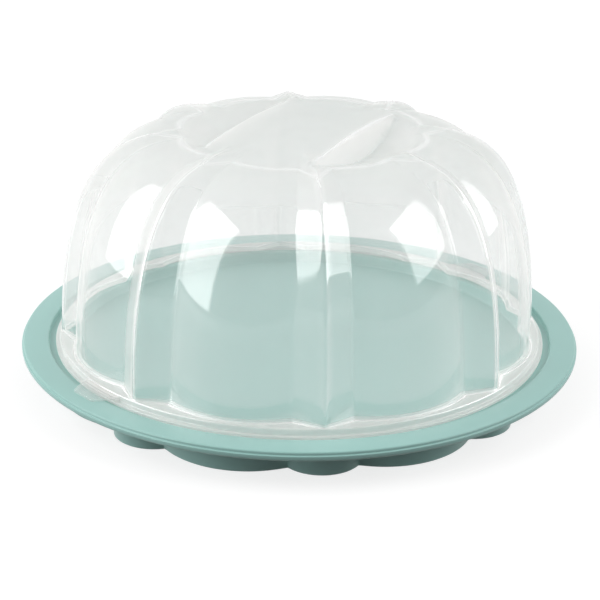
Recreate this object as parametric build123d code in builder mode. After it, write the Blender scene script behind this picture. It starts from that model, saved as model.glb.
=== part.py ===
from build123d import *
from math import asin, atan2, cos, degrees, hypot, radians, sin, tan
import os

# Cake keeper: a round serving tray with a fluted dome lid that lifts off.
# Millimetres. Z = 0 is the table, the Z axis runs through the middle of both
# mouldings, and one ridge of the lid faces the front, which is -Y.

# Tray
RIM_WIDTH = 15.6
TRAY_WALL = 2.4
PLATEAU_HEIGHT = 22.5
LIP_DROP = 3.4
LIP_BEAD = 3.0
LIP_BULGE = 0.3
RIM_CHAMFER = 1.4
WELL_DEPTH = 10.0
WELL_SLOPE = 0.8
SEAT_DEPTH = 3.2
SEAT_WIDTH = 12.1
SEAT_MARGIN = 4.0

# Foot under the tray: a thin standing wall, scalloped in step with the lid
FOOT_MARGIN = 0.9
FOOT_SCALLOP = 9.1
FOOT_CUSP_ANGLE = 7.9
FOOT_WALL = 2.3

# Lid
FLUTES = 8
LID_WALL = 2.0
LID_CLEARANCE = 0.3
FLANGE_WIDTH = 2.6
FLANGE_THICKNESS = 1.9
FLANGE_CHAMFER = 0.6
SKIRT_HEIGHT = 5.4
SKIRT_MARGIN = 0.6
SHELF_CHAMFER = 0.8
RIDGE_RADIUS = 142.2
LOBE_STEP = 3.6
VALLEY_DEPTH = 9.6
RIDGE_HALF_ANGLE = 7.4
RIDGE_RISE = 128.3
PANEL_RISE = 126.2
DOME_FULLNESS = 6.4
LOBE_CHORDS = 6
SECTIONS = 9
CROWN_RISE = 125.2
CROWN_DOME = 5.6
TIP_RISE = 2.6
TIP_RADIUS = 76.0
TIP_ROOT_RADIUS = 48.0

# Grip: a bridge across the crown with a finger scoop on either side
BRIDGE_WIDTH = 65.6
BRIDGE_ANGLE = -31.2
BRIDGE_DRAFT = 6.5
SCOOP_RADIUS = 66.5
SCOOP_DEPTH = 13.0

# Lift tabs on the flange
TAB_ANGLE = -55.5
TAB_COUNT = 2
TAB_WIDTH = 23.0
TAB_REACH = 11.0
TAB_THICKNESS = 1.8
TAB_ROUND = 3.0

# Levels and radii that follow from the sizes above
PITCH = 360.0 / FLUTES
FRONT = -90.0
FLOOR_TOP = PLATEAU_HEIGHT - WELL_DEPTH
SEAT_TOP = PLATEAU_HEIGHT - SEAT_DEPTH
FLANGE_BASE = SEAT_TOP + LID_CLEARANCE
FLANGE_TOP = FLANGE_BASE + FLANGE_THICKNESS
SHELF_TOP = FLANGE_BASE + SKIRT_HEIGHT
CROWN_EDGE = FLANGE_BASE + CROWN_RISE
OVER_CROWN = CROWN_EDGE + CROWN_DOME + SCOOP_DEPTH
LOBE_RADIUS = RIDGE_RADIUS - LOBE_STEP
VALLEY_RADIUS = RIDGE_RADIUS - VALLEY_DEPTH
SKIRT_RADIUS = RIDGE_RADIUS + SKIRT_MARGIN
FLANGE_RADIUS = SKIRT_RADIUS + FLANGE_WIDTH
SEAT_RADIUS = FLANGE_RADIUS + SEAT_MARGIN
TRAY_RADIUS = SEAT_RADIUS + RIM_WIDTH
WELL_RADIUS = SEAT_RADIUS - SEAT_WIDTH - WELL_SLOPE
FOOT_CREST = SEAT_RADIUS - FOOT_MARGIN
FOOT_CUSP = FOOT_CREST - FOOT_SCALLOP


def polar(radius, angle):
    """Point at a radius and an angle in degrees, counted from the front."""
    turn = radians(FRONT + angle)
    return radius * cos(turn), radius * sin(turn)


def fluted_outline(ridge, lobe, valley):
    """Level outline with one pointed ridge and one round lobe per flute.

    A lobe is an arc through its two valleys and its crest, drawn in flat chords to keep the mesh light.
    """
    half_lobe = radians(PITCH / 2 - RIDGE_HALF_ANGLE)
    centre = (lobe ** 2 - valley ** 2) / 2 / (lobe - valley * cos(half_lobe))
    arc_radius = lobe - centre
    half_arc = asin(valley * sin(half_lobe) / arc_radius)
    points = []
    for flute in range(FLUTES):
        points.append(polar(ridge, flute * PITCH))
        for chord in range(LOBE_CHORDS + 1):
            along = half_arc * (2 * chord / LOBE_CHORDS - 1)
            out = centre + arc_radius * cos(along)
            aside = arc_radius * sin(along)
            points.append(polar(hypot(out, aside), (flute + 0.5) * PITCH + degrees(atan2(aside, out))))
    with BuildSketch() as outline:
        with BuildLine():
            Polyline(*points, close=True)
        make_face()
    return outline.sketch


def closing(radius, rise, full_rise):
    """Radius of a wall that stands upright at its base and closes over at its full rise."""
    return radius * (1.0 - (rise / full_rise) ** 2) ** (1.0 / DOME_FULLNESS)


def dome(inset):
    """Solid inside the fluted skin of the lid, drawn in by inset on every side."""
    top = CROWN_RISE - inset
    edge_level = FLANGE_BASE + top
    with BuildPart() as form:
        for step in range(SECTIONS + 1):
            rise = top * sin(radians(90.0 * step / SECTIONS))
            ridge = closing(RIDGE_RADIUS - inset, rise, RIDGE_RISE - inset)
            lobe = closing(LOBE_RADIUS - inset, rise, PANEL_RISE - inset)
            valley = closing(VALLEY_RADIUS - inset, rise, PANEL_RISE - inset)
            with BuildSketch(Plane.XY.offset(FLANGE_BASE + rise)):
                add(fluted_outline(ridge, lobe, valley))
        with BuildSketch(Plane.XY.offset(edge_level + TIP_RISE)):
            add(fluted_outline(TIP_RADIUS - inset, TIP_ROOT_RADIUS, TIP_ROOT_RADIUS))
        loft(ruled=True)
        with BuildSketch(Plane.XZ):
            with BuildLine():
                below = edge_level - TIP_RISE
                shoulder = (TIP_ROOT_RADIUS, edge_level + TIP_RISE)
                peak = (0, edge_level + CROWN_DOME)
                Polyline((0, below), (valley, below), (valley, edge_level), shoulder, peak, close=True)
            make_face()
        revolve(axis=Axis.Z)
    return form.part


def finger_scoops(growth):
    """Two scoops beside the grip's bridge, grown by growth on every side."""
    half_bridge = BRIDGE_WIDTH / 2 - growth
    deepest = CROWN_EDGE - SCOOP_DEPTH - growth
    with BuildPart() as scoops:
        with BuildSketch(Plane.XZ):
            with BuildLine():
                lip = SCOOP_RADIUS + growth
                Polyline((0, deepest), (half_bridge, deepest), (lip, CROWN_EDGE),
                         (lip, OVER_CROWN), (0, OVER_CROWN), close=True)
            make_face()
        revolve(axis=Axis.Z)
        with BuildSketch(Plane.XZ.rotated((0, 0, BRIDGE_ANGLE))):
            with BuildLine():
                flare = tan(radians(BRIDGE_DRAFT))
                wide = half_bridge + (CROWN_EDGE + CROWN_DOME - deepest) * flare
                narrow = half_bridge + (CROWN_EDGE + CROWN_DOME - OVER_CROWN) * flare
                Polyline((-wide, deepest), (wide, deepest),
                         (narrow, OVER_CROWN), (-narrow, OVER_CROWN), close=True)
            make_face()
        extrude(amount=SCOOP_RADIUS + LID_WALL, both=True, mode=Mode.SUBTRACT)
    return scoops.part


def foot_outline():
    """Level outline of the foot: a narrow scallop under each ridge and a wide one between."""
    with BuildSketch() as outline:
        with BuildLine():
            for flute in range(FLUTES):
                start = flute * PITCH
                left = polar(FOOT_CUSP, start - FOOT_CUSP_ANGLE)
                right = polar(FOOT_CUSP, start + FOOT_CUSP_ANGLE)
                following = polar(FOOT_CUSP, start + PITCH - FOOT_CUSP_ANGLE)
                ThreePointArc(left, polar(FOOT_CREST, start), right)
                ThreePointArc(right, polar(FOOT_CREST, start + PITCH / 2), following)
        make_face()
    return outline.sketch


with BuildPart() as tray:
    with BuildSketch(Plane.XZ) as section:
        with BuildLine():
            Polyline((0, FLOOR_TOP), (WELL_RADIUS, FLOOR_TOP), (WELL_RADIUS + WELL_SLOPE, SEAT_TOP),
                     (SEAT_RADIUS, SEAT_TOP), (SEAT_RADIUS, PLATEAU_HEIGHT),
                     (TRAY_RADIUS, PLATEAU_HEIGHT), (TRAY_RADIUS, PLATEAU_HEIGHT - LIP_DROP))
            offset(amount=TRAY_WALL, side=Side.RIGHT, kind=Kind.INTERSECTION)
        make_face()
        rim_corner = section.vertices().group_by(Axis.Y)[-1].sort_by(Axis.X)[-1]
        chamfer(rim_corner, RIM_CHAMFER)
        with Locations((TRAY_RADIUS - LIP_BEAD / 2 + LIP_BULGE, PLATEAU_HEIGHT - LIP_DROP)):
            Rectangle(LIP_BEAD, LIP_BEAD)
    revolve(axis=Axis.Z)
    with BuildSketch(Plane.XY):
        add(foot_outline())
        offset(amount=-FOOT_WALL, mode=Mode.SUBTRACT)
    extrude(amount=SEAT_TOP - TRAY_WALL / 2)

with BuildPart() as lid:
    with BuildSketch(Plane.XZ) as rim:
        with BuildLine():
            Polyline((0, FLANGE_BASE), (FLANGE_RADIUS, FLANGE_BASE), (FLANGE_RADIUS, FLANGE_TOP),
                     (SKIRT_RADIUS, FLANGE_TOP), (SKIRT_RADIUS, SHELF_TOP), (0, SHELF_TOP), close=True)
        make_face()
        flange_edge = rim.vertices().sort_by(Axis.X)[-2:].sort_by(Axis.Y)[-1]
        chamfer(flange_edge, FLANGE_CHAMFER)
        shelf_edge = rim.vertices().group_by(Axis.Y)[-1].sort_by(Axis.X)[-1]
        chamfer(shelf_edge, SHELF_CHAMFER)
    revolve(axis=Axis.Z)
    with BuildSketch(Plane.XY.offset(PLATEAU_HEIGHT + LID_CLEARANCE)):
        with PolarLocations(SKIRT_RADIUS, TAB_COUNT, start_angle=FRONT + TAB_ANGLE):
            RectangleRounded(2 * TAB_REACH, TAB_WIDTH, TAB_ROUND)
    extrude(amount=TAB_THICKNESS)
    add(dome(0.0))
    add(finger_scoops(0.0), mode=Mode.SUBTRACT)
    with BuildSketch(Plane.XY.offset(FLANGE_BASE)):
        Circle(SKIRT_RADIUS - LID_WALL)
    extrude(amount=SKIRT_HEIGHT - LID_WALL, mode=Mode.SUBTRACT)
    add(dome(LID_WALL) - finger_scoops(LID_WALL), mode=Mode.SUBTRACT)

tray.part.label = "tray"
lid.part.label = "lid"
os.makedirs("parts", exist_ok=True)
export_step(tray.part, "parts/tray.step")
export_step(lid.part, "parts/lid.step")
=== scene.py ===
from math import asin, atan2, cos, hypot, pi, radians, sin, tan

import bmesh
import bpy
from mathutils import Matrix, Vector
from mathutils.geometry import delaunay_2d_cdt


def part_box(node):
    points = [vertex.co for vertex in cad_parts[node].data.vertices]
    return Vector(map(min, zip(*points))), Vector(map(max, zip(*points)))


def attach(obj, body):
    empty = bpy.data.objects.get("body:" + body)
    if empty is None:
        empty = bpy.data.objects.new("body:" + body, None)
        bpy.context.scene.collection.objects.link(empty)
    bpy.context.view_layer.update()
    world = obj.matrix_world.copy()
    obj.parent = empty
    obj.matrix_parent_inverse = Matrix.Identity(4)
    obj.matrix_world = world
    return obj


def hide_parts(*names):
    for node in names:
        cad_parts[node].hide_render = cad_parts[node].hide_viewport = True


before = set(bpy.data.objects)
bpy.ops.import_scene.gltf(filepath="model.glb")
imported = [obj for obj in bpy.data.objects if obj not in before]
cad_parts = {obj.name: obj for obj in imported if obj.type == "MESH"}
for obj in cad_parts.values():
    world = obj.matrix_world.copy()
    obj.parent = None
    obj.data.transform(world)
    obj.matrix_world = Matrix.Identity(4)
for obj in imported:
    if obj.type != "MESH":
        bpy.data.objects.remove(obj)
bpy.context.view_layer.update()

# Camera. The photograph looks down on the keeper from a little above the lid, almost square to
# one ridge, through a long lens that keeps the two ends of the tray nearly as large as each other.
PHOTO_SIZE = 600
FOCAL_PIXELS = 1714.0
SENSOR_WIDTH = 36.0
VIEW_DISTANCE = 1.0329
VIEW_ELEVATION = radians(23.2)
VIEW_AZIMUTH = radians(-5.7)
VIEW_ROLL = radians(0.76)
VIEW_TARGET = Vector((0.0, 0.0, 0.0206))
TARGET_PIXEL = (299.5, 330.2)

camera_data = bpy.data.cameras.new("photo_camera")
camera_data.sensor_width = SENSOR_WIDTH
camera_data.lens = FOCAL_PIXELS / PHOTO_SIZE * SENSOR_WIDTH
camera_data.shift_x = (PHOTO_SIZE / 2 - TARGET_PIXEL[0]) / PHOTO_SIZE
camera_data.shift_y = (TARGET_PIXEL[1] - PHOTO_SIZE / 2) / PHOTO_SIZE
camera = bpy.data.objects.new("photo_camera", camera_data)
bpy.context.scene.collection.objects.link(camera)
bpy.context.scene.camera = camera
backward = Vector((sin(VIEW_AZIMUTH) * cos(VIEW_ELEVATION),
                   -cos(VIEW_AZIMUTH) * cos(VIEW_ELEVATION),
                   sin(VIEW_ELEVATION)))
aim = backward.to_track_quat("Z", "Y").to_matrix().to_4x4()
camera.matrix_world = (Matrix.Translation(VIEW_TARGET + backward * VIEW_DISTANCE)
                       @ aim @ Matrix.Rotation(VIEW_ROLL, 4, "Z"))


# Tray. One injection moulding in sea-green polypropylene with a fine satin skin: a round plate
# with a turned-down lip, a flat plateau, a sunk seat for the lid's flange and a well for the cake.
# Under it stands a thin foot wall, scalloped in step with the flutes of the lid.
MM = 0.001
FLUTES = 8
PITCH = 2 * pi / FLUTES
FRONT = -pi / 2
TRAY_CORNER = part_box("tray")[1]
TRAY_REACH = TRAY_CORNER.x
PLATEAU = TRAY_CORNER.z
TRAY_WALL = 2.4 * MM
LIP_SETBACK = 0.9 * MM
LIP_DROP = 3.4 * MM
BEAD_RADIUS = 1.5 * MM
WELL_RADIUS = 136.5 * MM
WELL_DEPTH = 10.0 * MM
WELL_SLOPE = 0.8 * MM
SEAT_DEPTH = 3.2 * MM
SEAT_RADIUS = 149.4 * MM
FLOOR_ROUND = 1.6 * MM
STEP_ROUND = 1.0 * MM
SEAT_ROUND = 0.8 * MM
SEAT_UNDER_ROUND = 1.4 * MM
LIP_ROUND = 1.9 * MM
LIP_UNDER_ROUND = 0.9 * MM
BEAD_ROOT_ROUND = 0.5 * MM
BEAD_TOP_ROUND = 0.6 * MM
BEAD_LOW_ROUND = 1.2 * MM
TRAY_STEPS = 240

# Foot: how its scallops run, and the strip of rows and columns that is bent into it. The toe's
# rounding takes that many rows on each side, and that share of them before the wall climbs.
FOOT_CREST = 148.5 * MM
FOOT_CUSP = 139.4 * MM
FOOT_CUSP_ANGLE = radians(7.9)
FOOT_CUSP_BLEND = 1.5 * MM
FOOT_WALL = 2.3 * MM
FOOT_HEIGHT = PLATEAU - SEAT_DEPTH - TRAY_WALL / 2
FOOT_COLUMNS = 40
FOOT_ROWS = 13
TOE_ROWS = 1.2
TOE_SHARE = 0.16

# Meshes: the most that a rounding takes of an edge, and how near two points count as one.
MOST_OF_EDGE = 0.49
SAME_SPOT = 0.01 * MM

# Finish: the tint and how much darker its clouds are, the satin, and the fine grain of the mould.
CLOUD_STOPS = (0.3, 0.7)
CLOUD_DETAIL = 3.0
GRAIN_DETAIL = 2.0
TRAY_TINT = (0.34, 0.585, 0.545)
TRAY_SHADE = 0.95
TRAY_ROUGHNESS = (0.29, 0.39)
TRAY_CLOUD = 9.0
TRAY_GRAIN = 1400.0
GRAIN_STRENGTH = 0.06
GRAIN_DEPTH = 0.1 * MM
PLASTIC_IOR = 1.49


class Wire:
    """One output of a node tree. Operators on it add Math nodes, and add() makes any other node."""

    def __init__(self, tree, socket=None):
        self.tree = tree
        self.socket = socket

    def add(self, kind, settings=None, sockets=None, output=0):
        """A new node of that type: its settings first, then the values or links of its sockets."""
        node = self.tree.nodes.new(kind)
        for name, value in (settings or {}).items():
            if name == "stops":
                while len(node.color_ramp.elements) < len(value):
                    node.color_ramp.elements.new(0.5)
                for element, (position, colour) in zip(node.color_ramp.elements, value):
                    element.position = position
                    element.color = (*colour, 1.0)
            else:
                setattr(node, name, value)
        for name, value in (sockets or {}).items():
            self.plug(node.inputs[name], value)
        return Wire(self.tree, None if output is None else node.outputs[output])

    def plug(self, socket, value):
        """Links a wire to a socket, or sets a plain value on it."""
        if isinstance(value, Wire):
            self.tree.links.new(value.socket, socket)
        else:
            socket.default_value = value

    def math(self, operation, *values):
        return self.add("ShaderNodeMath", {"operation": operation}, dict(enumerate(values)))

    def __add__(self, other):
        return self.math("ADD", self, other)

    def __sub__(self, other):
        return self.math("SUBTRACT", self, other)

    def __mul__(self, other):
        return self.math("MULTIPLY", self, other)

    def __truediv__(self, other):
        return self.math("DIVIDE", self, other)

    def __pow__(self, other):
        return self.math("POWER", self, other)

    def __radd__(self, other):
        return self.math("ADD", other, self)

    def __rsub__(self, other):
        return self.math("SUBTRACT", other, self)

    def __rmul__(self, other):
        return self.math("MULTIPLY", other, self)

    def __rtruediv__(self, other):
        return self.math("DIVIDE", other, self)

    def __rpow__(self, other):
        return self.math("POWER", other, self)

    def sin(self):
        return self.math("SINE", self)

    def cos(self):
        return self.math("COSINE", self)

    def tan(self):
        return self.math("TANGENT", self)

    def root(self):
        return self.math("SQRT", self)

    def size(self):
        return self.math("ABSOLUTE", self)

    def least(self, other):
        return self.math("MINIMUM", self, other)

    def most(self, other):
        return self.math("MAXIMUM", self, other)

    def soft_least(self, other, width):
        return self.math("SMOOTH_MIN", self, other, width)

    def soft_most(self, other, width):
        return self.math("SMOOTH_MAX", self, other, width)

    def back_and_forth(self, reach):
        return self.math("PINGPONG", self, reach)

    def mix(self, low, high):
        return low + self * (high - low)

    def fade(self, start, end):
        """0 at start and 1 at end, eased at both."""
        return self.add("ShaderNodeMapRange", {"interpolation_type": "SMOOTHSTEP"},
                        {"Value": self, "From Min": start, "From Max": end})

    def part(self, axis):
        """One of the three parts of a vector: 0, 1 or 2."""
        return self.add("ShaderNodeSeparateXYZ", {}, {"Vector": self}, axis)

    def length(self):
        return self.add("ShaderNodeVectorMath", {"operation": "LENGTH"}, {"Vector": self}, "Value")

    def noise(self, scale, detail):
        """Soft clouds at the places that this vector gives."""
        return self.add("ShaderNodeTexNoise", {}, {"Vector": self, "Scale": scale, "Detail": detail})


def new_tree(name, inputs):
    """A Geometry Nodes tree with those named inputs, its start and the wires of its inputs."""
    tree = bpy.data.node_groups.new(name, "GeometryNodeTree")
    tree.interface.new_socket("Geometry", in_out="INPUT", socket_type="NodeSocketGeometry")
    tree.interface.new_socket("Geometry", in_out="OUTPUT", socket_type="NodeSocketGeometry")
    for label, (kind, value) in inputs.items():
        socket = tree.interface.new_socket(label, in_out="INPUT", socket_type=kind)
        if value is not None:
            socket.default_value = value
    entry = tree.nodes.new("NodeGroupInput")
    wires = {socket.name: Wire(tree, socket) for socket in entry.outputs if socket.name}
    return tree, Wire(tree), wires


def close_tree(tree, geometry, finish):
    """Ends a tree in Realize Instances and Set Material."""
    real = geometry.add("GeometryNodeRealizeInstances", {}, {"Geometry": geometry})
    dressed = real.add("GeometryNodeSetMaterial", {}, {"Geometry": real, "Material": finish})
    leave = tree.nodes.new("NodeGroupOutput")
    tree.links.new(dressed.socket, leave.inputs[0])


def mesh_from_tree(name, pattern, tree, values):
    """Runs a tree on a pattern mesh with those input values and keeps the result as a plain mesh."""
    holder = bpy.data.objects.new(name + "_pattern", pattern)
    bpy.context.scene.collection.objects.link(holder)
    modifier = holder.modifiers.new("shape", "NODES")
    modifier.node_group = tree
    for item in tree.interface.items_tree:
        if item.in_out == "INPUT" and item.name in values:
            modifier[item.identifier] = values[item.name]
    graph = bpy.context.evaluated_depsgraph_get()
    made = bpy.data.meshes.new_from_object(holder.evaluated_get(graph))
    bpy.data.objects.remove(holder)
    made.name = name
    return made


def finish_mesh(mesh, material, crease=radians(40)):
    """Closes seams, points faces outwards, shades smooth but for sharp edges and sets the material."""
    work = bmesh.new()
    work.from_mesh(mesh)
    bmesh.ops.remove_doubles(work, verts=work.verts, dist=SAME_SPOT)
    bmesh.ops.dissolve_degenerate(work, edges=work.edges, dist=SAME_SPOT)
    bmesh.ops.recalc_face_normals(work, faces=work.faces)
    for face in work.faces:
        face.smooth = True
    for edge in work.edges:
        edge.smooth = len(edge.link_faces) == 2 and edge.calc_face_angle(0.0) < crease
    work.to_mesh(mesh)
    work.free()
    mesh.materials.clear()
    mesh.materials.append(material)


def place(name, mesh, body, slot, *nodes):
    """Puts a finished mesh in the scene as a piece that rides on a body and stands for CAD nodes."""
    piece = bpy.data.objects.new(name, mesh)
    bpy.context.scene.collection.objects.link(piece)
    if nodes:
        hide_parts(*nodes)
    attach(piece, body)


def rounded(corners, steps=4):
    """A profile through (radius, height, rounding) corners, each rounded by an arc of that radius."""
    path = [Vector(corners[0][:2])]
    for before, corner, after in zip(corners, corners[1:], corners[2:]):
        here = Vector(corner[:2])
        arrive = Vector(before[:2]) - here
        depart = Vector(after[:2]) - here
        if corner[2] <= 0:
            path.append(here)
            continue
        half = arrive.angle(depart) / 2
        run = min(corner[2] / tan(half), arrive.length * MOST_OF_EDGE, depart.length * MOST_OF_EDGE)
        radius = run * tan(half)
        middle = here + (arrive.normalized() + depart.normalized()).normalized() * (radius / sin(half))
        first = here + arrive.normalized() * run - middle
        turn = first.angle_signed(here + depart.normalized() * run - middle)
        for step in range(steps + 1):
            path.append(middle + Matrix.Rotation(-turn * step / steps, 2) @ first)
    path.append(Vector(corners[-1][:2]))
    return path


def tray_profile():
    """Half section of the plate, from the middle of the floor over the lip and back underneath."""
    edge = TRAY_REACH - LIP_SETBACK
    floor = PLATEAU - WELL_DEPTH
    seat = PLATEAU - SEAT_DEPTH
    well_top = WELL_RADIUS + WELL_SLOPE
    top = [(0, floor, 0), (WELL_RADIUS, floor, FLOOR_ROUND), (well_top, seat, STEP_ROUND),
           (SEAT_RADIUS, seat, SEAT_ROUND), (SEAT_RADIUS, PLATEAU, STEP_ROUND), (edge, PLATEAU, LIP_ROUND)]
    bead_top = PLATEAU - LIP_DROP + BEAD_RADIUS
    bead_low = PLATEAU - LIP_DROP - BEAD_RADIUS
    bead = [(edge, bead_top, BEAD_ROOT_ROUND), (TRAY_REACH, bead_top, BEAD_TOP_ROUND),
            (TRAY_REACH, bead_low, BEAD_LOW_ROUND),
            (TRAY_REACH - 2 * BEAD_RADIUS, bead_low, BEAD_LOW_ROUND)]
    under = [(edge - TRAY_WALL, PLATEAU - TRAY_WALL, LIP_UNDER_ROUND),
             (SEAT_RADIUS + TRAY_WALL, PLATEAU - TRAY_WALL, SEAT_ROUND),
             (SEAT_RADIUS + TRAY_WALL, seat - TRAY_WALL, SEAT_UNDER_ROUND),
             (well_top + TRAY_WALL, seat - TRAY_WALL, SEAT_ROUND),
             (WELL_RADIUS + TRAY_WALL, floor - TRAY_WALL, FLOOR_ROUND), (0, floor - TRAY_WALL, 0)]
    return rounded(top + bead + under)


def spun(profile, steps):
    """The closed mesh that a half section sweeps round the Z axis."""
    work = bmesh.new()
    points = [work.verts.new((point.x, 0.0, point.y)) for point in profile]
    edges = [work.edges.new(pair) for pair in zip(points, points[1:])]
    bmesh.ops.spin(work, geom=points + edges, cent=(0, 0, 0), axis=(0, 0, 1),
                   angle=2 * pi, steps=steps, use_merge=True)
    mesh = bpy.data.meshes.new("spun")
    work.to_mesh(mesh)
    work.free()
    return mesh


def tray_plastic():
    """Sea-green polypropylene: an even colour, a satin moulded skin and a faint flow of the melt."""
    material = bpy.data.materials.new("sea_green_polypropylene")
    material.use_nodes = True
    shader = material.node_tree.nodes["Principled BSDF"]
    start = Wire(material.node_tree)
    on_piece = start.add("ShaderNodeTexCoord", output="Object")
    cloud = on_piece.noise(TRAY_CLOUD, CLOUD_DETAIL)
    grain = on_piece.noise(TRAY_GRAIN, GRAIN_DETAIL)
    darker = tuple(TRAY_SHADE * part for part in TRAY_TINT)
    stops = tuple(zip(CLOUD_STOPS, (darker, TRAY_TINT)))
    tint = start.add("ShaderNodeValToRGB", {"stops": stops}, {"Fac": cloud})
    skin = start.add("ShaderNodeBump", {}, {"Height": grain, "Strength": GRAIN_STRENGTH,
                                            "Distance": GRAIN_DEPTH})
    start.plug(shader.inputs["Base Color"], tint)
    start.plug(shader.inputs["Roughness"], cloud.mix(*TRAY_ROUGHNESS))
    start.plug(shader.inputs["Normal"], skin)
    start.plug(shader.inputs["IOR"], PLASTIC_IOR)
    return material


def arc(crest, cusp, half_width, offset):
    """Distance from the axis to a bulge through its crest and two cusps, at an angle from its middle."""
    centre = (crest * crest - cusp * cusp) / ((crest - cusp * half_width.cos()) * 2.0)
    radius = crest - centre
    aside = centre * offset.sin()
    return centre * offset.cos() + (radius * radius - aside * aside).root()


def foot_tree():
    """Geometry Nodes rule of the foot: a strip of wall bent round the axis and scalloped.

    The strip comes down the outer skin, turns at the toe in its middle row and goes up the inner skin.
    """
    number, whole = "NodeSocketFloat", "NodeSocketInt"
    tree, start, given = new_tree("scalloped_foot", {
        "Scallops": (whole, FLUTES), "Crest": (number, FOOT_CREST), "Cusp": (number, FOOT_CUSP),
        "Cusp Angle": (number, FOOT_CUSP_ANGLE), "Cusp Blend": (number, FOOT_CUSP_BLEND),
        "Wall": (number, FOOT_WALL), "Height": (number, FOOT_HEIGHT),
        "Finish": ("NodeSocketMaterial", None)})
    strip = start.add("GeometryNodeMeshGrid", {}, {"Size X": 1.0, "Size Y": 1.0, "Vertices Y": FOOT_ROWS,
                                                   "Vertices X": given["Scallops"] * FOOT_COLUMNS + 1})
    spot = start.add("GeometryNodeInputPosition")
    turn = (spot.part(0) + 0.5) * (2 * pi)
    half_pitch = pi / given["Scallops"]
    near = turn.back_and_forth(half_pitch)
    narrow = arc(given["Crest"], given["Cusp"], given["Cusp Angle"], near)
    wide = arc(given["Crest"], given["Cusp"], half_pitch - given["Cusp Angle"], half_pitch - near)
    outline = narrow.soft_most(wide, given["Cusp Blend"])
    rows_to_toe = (FOOT_ROWS - 1) / 2
    row = (spot.part(1) + 0.5) * (FOOT_ROWS - 1) - rows_to_toe
    level = row.size() / rows_to_toe
    side = (row / TOE_ROWS).most(-1.0).least(1.0)
    toe = 1.0 - (1.0 - side * side).most(0.0).root()
    distance = outline - given["Wall"] * (side + 1.0) / 2.0
    climb = ((level - TOE_SHARE) / (1.0 - TOE_SHARE)).most(0.0)
    height = (given["Height"] * climb + given["Wall"] / 2.0 * toe).least(given["Height"])
    heading = turn + FRONT
    bent = start.add("ShaderNodeCombineXYZ", {}, {"X": distance * heading.cos(),
                                                  "Y": distance * heading.sin(), "Z": height})
    moved = start.add("GeometryNodeSetPosition", {}, {"Geometry": strip, "Position": bent})
    close_tree(tree, moved, given["Finish"])
    return tree


sea_green = tray_plastic()
plate_mesh = spun(tray_profile(), TRAY_STEPS)
finish_mesh(plate_mesh, sea_green)
place("tray_plate", plate_mesh, "tray", "tray", "tray")

foot_start = bpy.data.meshes.new("foot_start")
foot_mesh = mesh_from_tree("tray_foot", foot_start, foot_tree(), {"Finish": sea_green})
finish_mesh(foot_mesh, sea_green)
place("tray_foot", foot_mesh, "tray", "tray")


# Lid. One thin injection moulding in natural polypropylene, clear enough to see the tray through
# and milky where it is seen edge on. Eight pointed ridges and eight round lobes run up the wall
# and over the shoulder, and a bridge between two finger scoops in the crown is the grip.
LID_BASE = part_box("lid")[0].z
LID_WALL = 2.0 * MM
FLANGE_RADIUS = 145.4 * MM
FLANGE_THICKNESS = 1.9 * MM
FLANGE_ROUND = 0.7 * MM
FLANGE_FOOT_ROUND = 0.4 * MM
SKIRT_RADIUS = 142.8 * MM
SKIRT_HEIGHT = 5.4 * MM
SKIRT_ROUND = 0.6 * MM
WALL_FOOT_ROUND = 1.0 * MM
LEAST_FOOT_ROUND = 0.01 * MM
SHELF_SHARE = 0.9
RIDGE_RADIUS = 142.2 * MM
LOBE_RADIUS = 138.6 * MM
VALLEY_RADIUS = 132.6 * MM
RIDGE_HALF_ANGLE = radians(7.4)
RIDGE_ROUND = radians(0.3)
VALLEY_BLEND = 1.2 * MM
RIDGE_RISE = 128.3 * MM
PANEL_RISE = 126.2 * MM
DOME_FULLNESS = 6.4
CROWN_RISE = 125.2 * MM
CROWN_DOME = 5.6 * MM
CROWN_REACH = 64.0 * MM
TIP_RISE = 2.6 * MM
TIP_RADIUS = 76.0 * MM
TIP_ROOT_RADIUS = 48.0 * MM
TIP_BLEND = 0.8 * MM
BRIDGE_HALF = 32.8 * MM
BRIDGE_ANGLE = radians(-31.2)
BRIDGE_DRAFT = radians(18)
SCOOP_RADIUS = 66.5 * MM
SCOOP_DEPTH = 13.0 * MM
SCOOP_BLEND = 7.0 * MM
SCOOP_EDGE_BLEND = 3.0 * MM
RELIEF_ROWS = 6.0
BRIM_RISE = 0.15 * MM
BRIM_START = 0.99

# Rows and columns of the lid's pattern: degrees across half a flute, millimetres up from the
# shelf, shares of the way out across the shelf, and millimetres out from the bridge's wall.
FLUTE_COLUMNS = (0, 0.2, 0.5, 1.0, 1.9, 3.1, 4.4, 5.6, 6.4, 6.9, 7.3, 7.7, 8.2, 9.0, 10.4, 12.4, 14.8,
                 17.3, 19.9)
FOOT_LIFTS = (0, 0.04, 0.15, 0.34, 0.6, 0.9, 1.3, 2.1, 3.6)
SHELF_WEIGHTS = (0.66, 0.33)
WALL_STEPS = 40
SHOULDER_STEPS = 8
BRIDGE_ROWS = (-1.6, -0.8, -0.3, 0.0, 0.3, 0.6, 0.9, 1.2, 1.5, 1.8, 2.1, 2.4, 2.8, 3.4, 4.4, 6.0)
BRIDGE_STEP = 2.0 * MM
FIELD_STEP = 2.6 * MM
FIELD_ROW = 0.87
CROWN_MARGIN = 1.2 * MM
NEAREST_SPOTS = 1e-7

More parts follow.
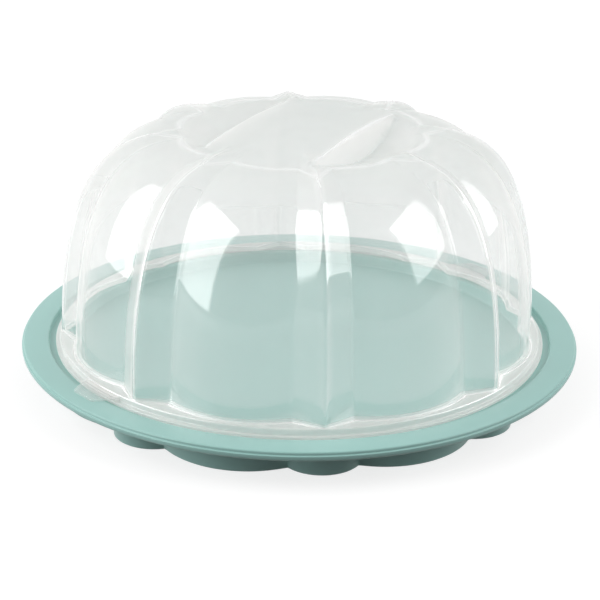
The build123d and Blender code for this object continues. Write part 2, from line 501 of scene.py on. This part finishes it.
# Painted highlights: white lines of extra gloss and milk painted along the lid's edges, where light would
# glint. How strong and how wide each one is.
SKIRT_LINE = 1.6
CROWN_LINE = 0.8
CROWN_LINE_START = 0.9
BESIDE_CROWN_LINE = 0.7
RIDGE_LINE = (radians(1.5), radians(0.5))
RIDGE_LINE_END = (0.5, 0.1)
BRIDGE_LINE_OUT = 0.3 * MM
BRIDGE_LINE = (1.1 * MM, 0.3 * MM)
BRIDGE_LINE_END = 6.0 * MM
LINE_SLANT = 2.6
LINE_POWER = 2.0
LINE_LIMIT = 1.4
LINE_THICK = 2.0
LINE_GLOSS = 0.40

# Finish: the milk in one wall's thickness, how many walls thick each place looks, and the gloss.
LID_MILK = 0.11
SKIRT_THICK = 5.5
CROWN_THICK = 1.4
CROWN_THICK_START = 0.6
SKIRT_FADE = 1.5 * MM
FLANGE_FADE = (1.5 * MM, 3.0 * MM)
EDGE_ON_LIMIT = 1.06
CLOUD_THICK = (0.8, 1.2)
MILK_TINTS = ((0.95, 0.92, 0.91), (0.99, 0.96, 0.95))
MILK_ROUGHNESS = (0.25, 0.35)
MILK_THROUGH = 0.5
THROUGH_TINT = (1.0, 0.965, 0.955, 1.0)
LID_GLOSS = 0.058
GRAZING_GLOSS = 0.10
GRAZING_POWER = 5.0
LID_ROUGHNESS = (0.035, 0.065)
LID_CLOUD = 14.0
LID_RIPPLE = 40.0
RIPPLE_STRENGTH = 0.05
RIPPLE_DEPTH = 0.2 * MM
PURE_WHITE = (1.0, 1.0, 1.0, 1.0)


def crown_points(half):
    """Spots on the flat crown: close rows along both walls of the bridge and an even field elsewhere."""
    reach = CROWN_REACH - CROWN_MARGIN
    spots = []
    for row in BRIDGE_ROWS:
        across = half + row * MM
        ends = int((reach ** 2 - across ** 2) ** 0.5 / BRIDGE_STEP)
        for side in (-1, 1):
            spots += [(side * across, along * BRIDGE_STEP) for along in range(-ends, ends + 1)]
    rows_start = BRIDGE_ROWS[0] * MM - FIELD_STEP / 2
    rows_end = BRIDGE_ROWS[-1] * MM + FIELD_STEP / 2
    count = int(reach / FIELD_STEP)
    for line in range(-count, count + 1):
        for step in range(-count, count + 1):
            across = (line + 0.5 * (step % 2)) * FIELD_STEP
            along = step * FIELD_STEP * FIELD_ROW
            if hypot(across, along) < reach and not rows_start < abs(across) - half < rows_end:
                spots.append((across, along))
    return [(hypot(x, y), atan2(y, x) + BRIDGE_ANGLE - FRONT) for x, y in spots]


def rim_path(inner):
    """Half section of the flange and skirt: the outer skin, or with inner the inner one."""
    inside = SKIRT_RADIUS - LID_WALL
    if inner:
        shelf = SKIRT_HEIGHT - LID_WALL
        rim = [(inside, 0, 0), (inside, shelf, SKIRT_ROUND), (inside - 2 * SKIRT_ROUND, shelf, 0)]
    else:
        rim = [(inside, 0, 0), (FLANGE_RADIUS, 0, FLANGE_FOOT_ROUND),
               (FLANGE_RADIUS, FLANGE_THICKNESS, FLANGE_ROUND),
               (SKIRT_RADIUS, FLANGE_THICKNESS, FLANGE_ROUND),
               (SKIRT_RADIUS, SKIRT_HEIGHT, SKIRT_ROUND),
               (SKIRT_RADIUS - 2 * SKIRT_ROUND, SKIRT_HEIGHT, 0)]
    return [spot + Vector((0, LID_BASE)) for spot in rounded(rim)[:-1]]


def lid_pattern():
    """The lid as a flat pattern: both skins as rows and columns, with what the rule needs at each point.

    turn is the angle from the front, climb the way up the wall (1 at the crown's edge, 2 where its even
    field starts), reach the share of the radius there, inner 1 on the inner skin, fixed 1 where the
    point stays as drawn, and edge the strength of the painted highlight line that it lies on.
    """
    quarter = [radians(angle) for angle in FLUTE_COLUMNS]
    flute = quarter + [PITCH / 2] + [PITCH - angle for angle in reversed(quarter[1:])]
    turns = [number * PITCH + angle for number in range(FLUTES) for angle in flute]
    points, faces = [], []
    facts = {"turn": [], "climb": [], "reach": [], "inner": [], "fixed": [], "edge": []}

    def point(turn, climb, reach, inner, fixed, edge, home):
        for name, value in zip(facts, (turn, climb, reach, inner, fixed, edge)):
            facts[name].append(value)
        points.append((home.x * cos(turn + FRONT), home.x * sin(turn + FRONT), home.y))
        return len(points) - 1

    for inner in (0, 1):
        inset = inner * LID_WALL
        path = rim_path(inner)
        top = CROWN_RISE - inset
        low = [asin((SKIRT_HEIGHT - inset + lift * MM) / top) * 2 / pi for lift in FOOT_LIFTS]
        wall = [low[-1] + (1 - low[-1]) * step / WALL_STEPS for step in range(1, WALL_STEPS)]
        shoulder = [1 + step / SHOULDER_STEPS for step in range(1, SHOULDER_STEPS + 1)]
        # The third point from the end is the middle of the skirt's rounded edge.
        skirt_edge = len(path) - 3
        # Painted highlight strength of the rows at the wall's foot, at the crown's edge and beside it; the
        # skirt's rounded edge gets one too.
        lines = {low[0]: 1.0, wall[-1]: BESIDE_CROWN_LINE, 1.0: 1.0, shoulder[0]: BESIDE_CROWN_LINE}
        rows = [(low[0], 1.0, float(not inner and number == skirt_edge), spot)
                for number, spot in enumerate(path)]
        rows += [(low[0], weight, 0.0, path[-1]) for weight in SHELF_WEIGHTS]
        rows += [(climb, 0.0, (1 - inner) * lines.get(climb, 0.0), path[-1])
                 for climb in low + wall + [1.0] + shoulder]
        grid = [[point(turn, climb, 1.0, inner, fixed, edge, home) for turn in turns]
                for climb, fixed, edge, home in rows]
        for lower, upper in zip(grid, grid[1:]):
            for column in range(len(turns)):
                following = (column + 1) % len(turns)
                faces.append((lower[column], lower[following], upper[following], upper[column]))
        ring = [(CROWN_REACH, turn) for turn in turns]
        spots = crown_points(BRIDGE_HALF - inset)
        indexes = grid[-1] + [point(turn, 2.0, radius / CROWN_REACH, inner, 0.0, 0.0, path[-1])
                              for radius, turn in spots]
        flat = [Vector((radius * cos(turn), radius * sin(turn))) for radius, turn in ring + spots]
        joined = delaunay_2d_cdt(flat, [], [], 0, NEAREST_SPOTS)
        triangles, origins = joined[2], joined[3]
        faces += [tuple(indexes[origins[corner][0]] for corner in triangle) for triangle in triangles]
    mesh = bpy.data.meshes.new("lid_pattern")
    mesh.from_pydata(points, [], faces)
    for name, values in facts.items():
        mesh.attributes.new(name, "FLOAT", "POINT").data.foreach_set("value", values)
    return mesh


def lid_tree():
    """Geometry Nodes rule of the fluted dome: every point of the pattern goes to its place on the lid."""
    sizes = {"Wall": LID_WALL, "Base": LID_BASE, "Shelf Rise": SKIRT_HEIGHT,
             "Shelf Radius": SKIRT_RADIUS - SKIRT_ROUND, "Foot Round": WALL_FOOT_ROUND,
             "Ridge Radius": RIDGE_RADIUS, "Lobe Radius": LOBE_RADIUS, "Valley Radius": VALLEY_RADIUS,
             "Ridge Half Angle": RIDGE_HALF_ANGLE, "Ridge Round": RIDGE_ROUND, "Valley Blend": VALLEY_BLEND,
             "Ridge Rise": RIDGE_RISE, "Panel Rise": PANEL_RISE, "Fullness": DOME_FULLNESS,
             "Crown Rise": CROWN_RISE, "Crown Dome": CROWN_DOME, "Crown Reach": CROWN_REACH,
             "Tip Rise": TIP_RISE, "Tip Radius": TIP_RADIUS, "Tip Root Radius": TIP_ROOT_RADIUS,
             "Tip Blend": TIP_BLEND, "Bridge Half": BRIDGE_HALF, "Bridge Angle": BRIDGE_ANGLE,
             "Bridge Draft": BRIDGE_DRAFT, "Scoop Radius": SCOOP_RADIUS, "Scoop Depth": SCOOP_DEPTH,
             "Scoop Blend": SCOOP_BLEND, "Scoop Edge Blend": SCOOP_EDGE_BLEND, "Brim": BRIM_RISE}
    sockets = {name: ("NodeSocketFloat", value) for name, value in sizes.items()}
    tree, start, given = new_tree("fluted_lid", {**sockets, "Finish": ("NodeSocketMaterial", None)})

    def fact(name):
        return start.add("GeometryNodeInputNamedAttribute", {"data_type": "FLOAT"}, {"Name": name})

    turn, climb, reach = map(fact, ("turn", "climb", "reach"))
    inner, fixed, mark = map(fact, ("inner", "fixed", "edge"))
    inset = inner * given["Wall"]
    rise = (given["Crown Rise"] - inset) * (climb.least(1.0) * (pi / 2)).sin()
    aside = turn.back_and_forth(PITCH / 2)
    aside = (aside * aside + given["Ridge Round"] * given["Ridge Round"]).root()
    edge = given["Ridge Half Angle"]

    def closing(radius, full):
        """Radius of a wall that stands upright at its base and closes over at its full rise."""
        share = rise / (given[full] - inset)
        return (given[radius] - inset) * (1.0 - share * share) ** (1.0 / given["Fullness"])

    def facet(ridge, valley):
        """Straight flank from the crest of a ridge to the valley beside it."""
        return valley * ridge * edge.sin() / (ridge * aside.sin() + valley * (edge - aside).sin())

    # The fluted wall, with a small fillet where it stands on the shelf of the skirt.
    valley = closing("Valley Radius", "Panel Rise")
    flank = facet(closing("Ridge Radius", "Ridge Rise"), valley)
    lobe = arc(closing("Lobe Radius", "Panel Rise"), valley, PITCH / 2 - edge, PITCH / 2 - aside)
    outline = flank.soft_most(lobe, given["Valley Blend"])
    room = ((given["Shelf Radius"] - inset - outline) * SHELF_SHARE).most(LEAST_FOOT_ROUND)
    fillet = room.least(given["Foot Round"])
    lift = 1.0 - ((rise - given["Shelf Rise"] + inset) / fillet).most(0.0).least(1.0)
    wall = outline + fillet * (1.0 - (1.0 - lift * lift).root())
    inward = (climb - 1.0).most(0.0)
    radius = inward.mix(wall, given["Crown Reach"]) * reach

    # The domed crown, the tips of the ridges that run up on to it, and the scoops cut into it.
    cap = given["Crown Dome"] * (1.0 - (radius / valley) * (radius / valley))
    tip = facet(given["Tip Radius"] - inset, given["Tip Root Radius"]).most(given["Tip Root Radius"])
    star = given["Tip Rise"] * ((outline - radius) / (outline - tip)).most(0.0).least(1.0)
    crown = cap.soft_most(star, given["Tip Blend"])
    heading = turn + FRONT
    east, north = radius * heading.cos(), radius * heading.sin()
    across = (east * given["Bridge Angle"].cos() + north * given["Bridge Angle"].sin()).size()
    half = given["Bridge Half"] - inset
    lip = given["Scoop Radius"] + inset
    ramp = (given["Scoop Depth"] + inset) * (radius - lip) / (lip - half)
    cheek = given["Crown Dome"] + (half - across) / given["Bridge Draft"].tan()
    scoop = ramp.soft_most(cheek, given["Scoop Blend"])
    carved = crown.soft_least(scoop, given["Scoop Edge Blend"])
    on_top = (inward * RELIEF_ROWS).least(1.0)
    brim = mark * climb.fade(BRIM_START, 1.0) * (1.0 - inward * SHOULDER_STEPS).most(0.0)
    height = given["Base"] + rise + carved * on_top + brim * given["Brim"]

    # Painted highlights: white lines along the skirt and the crown's edge, up the ridges and along the
    # bridge, kept as the crest attribute for the finish.
    ridge_glint = aside.fade(*RIDGE_LINE) * (1.0 - fixed) * inward.fade(*RIDGE_LINE_END)
    bridge_glint = (across - half - BRIDGE_LINE_OUT).size().fade(*BRIDGE_LINE)
    bridge_glint = bridge_glint * on_top * radius.fade(lip, lip - BRIDGE_LINE_END)
    edge_glint = mark * climb.fade(CROWN_LINE_START, 1.0).mix(SKIRT_LINE, CROWN_LINE)
    crest = edge_glint.most(ridge_glint.most(bridge_glint) * (1.0 - inner))

    ruled = start.add("ShaderNodeCombineXYZ", {}, {"X": east, "Y": north, "Z": height})
    home = start.add("GeometryNodeInputPosition")
    factor, first_vector, second_vector = 0, 4, 5
    spot = start.add("ShaderNodeMix", {"data_type": "VECTOR"},
                     {factor: fixed, first_vector: ruled, second_vector: home}, 1)
    marked = start.add("GeometryNodeStoreNamedAttribute", {"data_type": "FLOAT", "domain": "POINT"},
                       {"Geometry": given["Geometry"], "Name": "crest", "Value": crest})
    moved = start.add("GeometryNodeSetPosition", {}, {"Geometry": marked, "Position": spot})
    close_tree(tree, moved, given["Finish"])
    return tree


def lid_plastic():
    """Natural polypropylene: a clear gloss sheet with some milk in it, thicker to the eye edge on."""
    material = bpy.data.materials.new("natural_polypropylene")
    material.use_nodes = True
    tree = material.node_tree
    milk = tree.nodes["Principled BSDF"]
    start = Wire(tree)
    on_piece = start.add("ShaderNodeTexCoord", output="Object")
    cloud = on_piece.noise(LID_CLOUD, CLOUD_DETAIL)
    ripple = on_piece.noise(LID_RIPPLE, GRAIN_DETAIL)
    edge_on = start.add("ShaderNodeLayerWeight", {}, {"Blend": 0.5}, "Facing")
    skin = start.add("ShaderNodeBump", {}, {"Height": ripple, "Strength": RIPPLE_STRENGTH,
                                            "Distance": RIPPLE_DEPTH})
    stops = tuple(zip(CLOUD_STOPS, MILK_TINTS))
    tint = start.add("ShaderNodeValToRGB", {"stops": stops}, {"Fac": cloud})
    start.plug(milk.inputs["Base Color"], tint)
    start.plug(milk.inputs["Roughness"], cloud.mix(*MILK_ROUGHNESS))
    start.plug(milk.inputs["Normal"], skin)

    # The longer the way through the plastic, the more milk: edge on, at the skirt and up the crown.
    # Painted highlights: along the lines marked in the crest attribute, extra milk and extra gloss are
    # painted in so that they show as white glints.
    crest = start.add("ShaderNodeAttribute", {"attribute_name": "crest"}, {}, "Fac")
    glint = crest * ((edge_on * LINE_SLANT) ** LINE_POWER).least(LINE_LIMIT)
    level = on_piece.part(2)
    shelf = LID_BASE + SKIRT_HEIGHT
    above_skirt = level.fade(shelf, shelf + SKIRT_FADE)
    past_flange = on_piece.length().fade(FLANGE_RADIUS + FLANGE_FADE[0], FLANGE_RADIUS + FLANGE_FADE[1])
    towards_crown = level.fade(LID_BASE + CROWN_THICK_START * CROWN_RISE, LID_BASE + CROWN_RISE)
    walls = above_skirt.most(past_flange).mix(SKIRT_THICK, 1.0)
    walls = walls + CROWN_THICK * towards_crown + LINE_THICK * glint
    way_through = walls * cloud.mix(*CLOUD_THICK) / (EDGE_ON_LIMIT - edge_on)
    haze = 1.0 - (1.0 - LID_MILK) ** way_through
    grazing = (1.0 - LID_GLOSS) * GRAZING_GLOSS * edge_on ** GRAZING_POWER
    mirror = (LID_GLOSS + grazing + LINE_GLOSS * glint).least(1.0)

    clear = start.add("ShaderNodeBsdfTransparent", {}, {"Color": PURE_WHITE})
    through = start.add("ShaderNodeBsdfTranslucent", {}, {"Color": THROUGH_TINT, "Normal": skin})
    lit = Wire(tree, milk.outputs["BSDF"])
    cloudy = start.add("ShaderNodeMixShader", {}, {0: MILK_THROUGH, 1: lit, 2: through})
    sheet = start.add("ShaderNodeMixShader", {}, {0: haze, 1: clear, 2: cloudy})
    shine = start.add("ShaderNodeBsdfAnisotropic", {}, {"Color": PURE_WHITE, "Normal": skin,
                                                        "Roughness": cloud.mix(*LID_ROUGHNESS)})
    whole = start.add("ShaderNodeMixShader", {}, {0: mirror, 1: sheet, 2: shine})
    start.plug(tree.nodes["Material Output"].inputs["Surface"], whole)
    return material


natural = lid_plastic()
lid_mesh = mesh_from_tree("lid_shell", lid_pattern(), lid_tree(), {"Finish": natural})
finish_mesh(lid_mesh, natural, crease=radians(50))
place("lid_shell", lid_mesh, "lid", "lid", "lid")


# Lift tabs. Two thin tongues moulded on the lid's skirt, opposite each other, that reach out over
# the plateau of the tray so that a fingertip can lift the flange out of its seat.
TAB_TURNS = (radians(-55.0), radians(125.0))
TAB_TIP = 8.5 * MM
TAB_ROOT = 16.0 * MM
TAB_REACH = 13.4 * MM
TAB_SINK = 0.5 * MM
TAB_THICKNESS = 1.6 * MM
TAB_ROUND = 2.4 * MM
TAB_ROUND_STEPS = 8
TAB_GAP = 0.3 * MM
TAB_BEVEL = 0.4 * MM
TAB_SHARP = radians(60)


def tab_mesh():
    """One tongue pointing to +X: wider at its root, rounded corners and softened edges."""
    root, tip = SKIRT_RADIUS - TAB_SINK, SKIRT_RADIUS + TAB_REACH
    outline = rounded([(root, -TAB_ROOT, 0), (tip, -TAB_TIP, TAB_ROUND),
                       (tip, TAB_TIP, TAB_ROUND), (root, TAB_ROOT, 0)], TAB_ROUND_STEPS)
    work = bmesh.new()
    low = PLATEAU + TAB_GAP
    face = work.faces.new([work.verts.new((x, y, low)) for x, y in outline])
    grown = bmesh.ops.extrude_face_region(work, geom=[face])
    lifted = [item for item in grown["geom"] if isinstance(item, bmesh.types.BMVert)]
    bmesh.ops.translate(work, verts=lifted, vec=(0, 0, TAB_THICKNESS))
    bmesh.ops.recalc_face_normals(work, faces=work.faces)
    sharp = [edge for edge in work.edges if edge.calc_face_angle(0.0) > TAB_SHARP]
    bmesh.ops.bevel(work, geom=sharp, offset=TAB_BEVEL, segments=3, profile=0.5, affect="EDGES")
    bmesh.ops.triangulate(work, faces=[face for face in work.faces if len(face.verts) > 4])
    mesh = bpy.data.meshes.new("tab")
    work.to_mesh(mesh)
    work.free()
    return mesh


both_tabs = bmesh.new()
for turn in TAB_TURNS:
    tab = tab_mesh()
    tab.transform(Matrix.Rotation(turn + FRONT, 4, "Z"))
    both_tabs.from_mesh(tab)
tabs_mesh = bpy.data.meshes.new("lift_tabs")
both_tabs.to_mesh(tabs_mesh)
both_tabs.free()
finish_mesh(tabs_mesh, natural)
place("lift_tabs", tabs_mesh, "lid", "lid")


# Stage. A pale table and an even white room, lit by one large soft box on each side, as in a
# light tent. The room is white to the eye and in reflections, and only gently lights the keeper.
FLOOR_REACH = 6.0
FLOOR_WHITE = 0.78
FLOOR_FADE = (0.45, 1.5)
FLOOR_SHADE = 0.30
FLOOR_BOUNCE = 0.04
ROOM_LIGHT = 0.37
BOX_DISTANCE = 1.5
BOX_WIDTH = 1.35
# Each box: its azimuth, its lower and upper edge seen from the keeper, and its radiance.
BOXES = ((radians(-80), radians(2), radians(56), 3.3), (radians(75), radians(11), radians(54), 2.7))


def in_sight(start):
    """1 for what is seen straight, mirrored or through the lid, and 0 for what only lights the keeper."""
    straight, mirrored, through = [start.add("ShaderNodeLightPath", output=kind) for kind in
                                   ("Is Camera Ray", "Is Glossy Ray", "Is Transmission Ray")]
    return straight.most(mirrored).most(through)


floor_mesh = bpy.data.meshes.new("floor")
corners = [(-FLOOR_REACH, -FLOOR_REACH, 0), (FLOOR_REACH, -FLOOR_REACH, 0),
           (FLOOR_REACH, FLOOR_REACH, 0), (-FLOOR_REACH, FLOOR_REACH, 0)]
floor_mesh.from_pydata(corners, [], [(0, 1, 2, 3)])
floor = bpy.data.objects.new("floor", floor_mesh)
bpy.context.scene.collection.objects.link(floor)

table_white = bpy.data.materials.new("table_white")
table_white.use_nodes = True
table_white.node_tree.nodes.clear()
floor_start = Wire(table_white.node_tree)
seen = in_sight(floor_start)
shade = seen.mix(FLOOR_BOUNCE, FLOOR_SHADE)
grey = floor_start.add("ShaderNodeCombineXYZ", {}, {"X": shade, "Y": shade, "Z": shade})
table = floor_start.add("ShaderNodeBsdfDiffuse", {}, {"Color": grey})
from_keeper = floor_start.add("ShaderNodeTexCoord", output="Object").length()
white = from_keeper.fade(*FLOOR_FADE).mix(FLOOR_WHITE, 1.0)
glow = floor_start.add("ShaderNodeEmission", {}, {"Strength": seen * white})
both = floor_start.add("ShaderNodeAddShader", {}, {0: table, 1: glow})
floor_start.add("ShaderNodeOutputMaterial", {}, {"Surface": both}, None)
floor_mesh.materials.append(table_white)

world = bpy.data.worlds.new("white_room")
bpy.context.scene.world = world
world.use_nodes = True
room_start = Wire(world.node_tree)
room = world.node_tree.nodes["Background"]
room_start.plug(room.inputs["Color"], PURE_WHITE)
north = room_start.add("ShaderNodeTexCoord", output="Generated").part(1)
room_light = ROOM_LIGHT * (1.0 + north)
room_start.plug(room.inputs["Strength"], in_sight(room_start).mix(room_light, 1.0))

for azimuth, bottom, top, radiance in BOXES:
    box_data = bpy.data.lights.new("soft_box", "AREA")
    box_data.shape = "RECTANGLE"
    box_data.size = BOX_WIDTH
    box_data.size_y = 2 * BOX_DISTANCE * tan((top - bottom) / 2)
    box_data.energy = radiance * pi * box_data.size * box_data.size_y
    soft_box = bpy.data.objects.new("soft_box", box_data)
    bpy.context.scene.collection.objects.link(soft_box)
    middle = (top + bottom) / 2
    outward = Vector((sin(azimuth) * cos(middle), -cos(azimuth) * cos(middle), sin(middle)))
    facing = outward.to_track_quat("Z", "Y").to_matrix().to_4x4()
    soft_box.matrix_world = Matrix.Translation(outward * BOX_DISTANCE) @ facing

bpy.context.scene.view_settings.view_transform = "Standard"
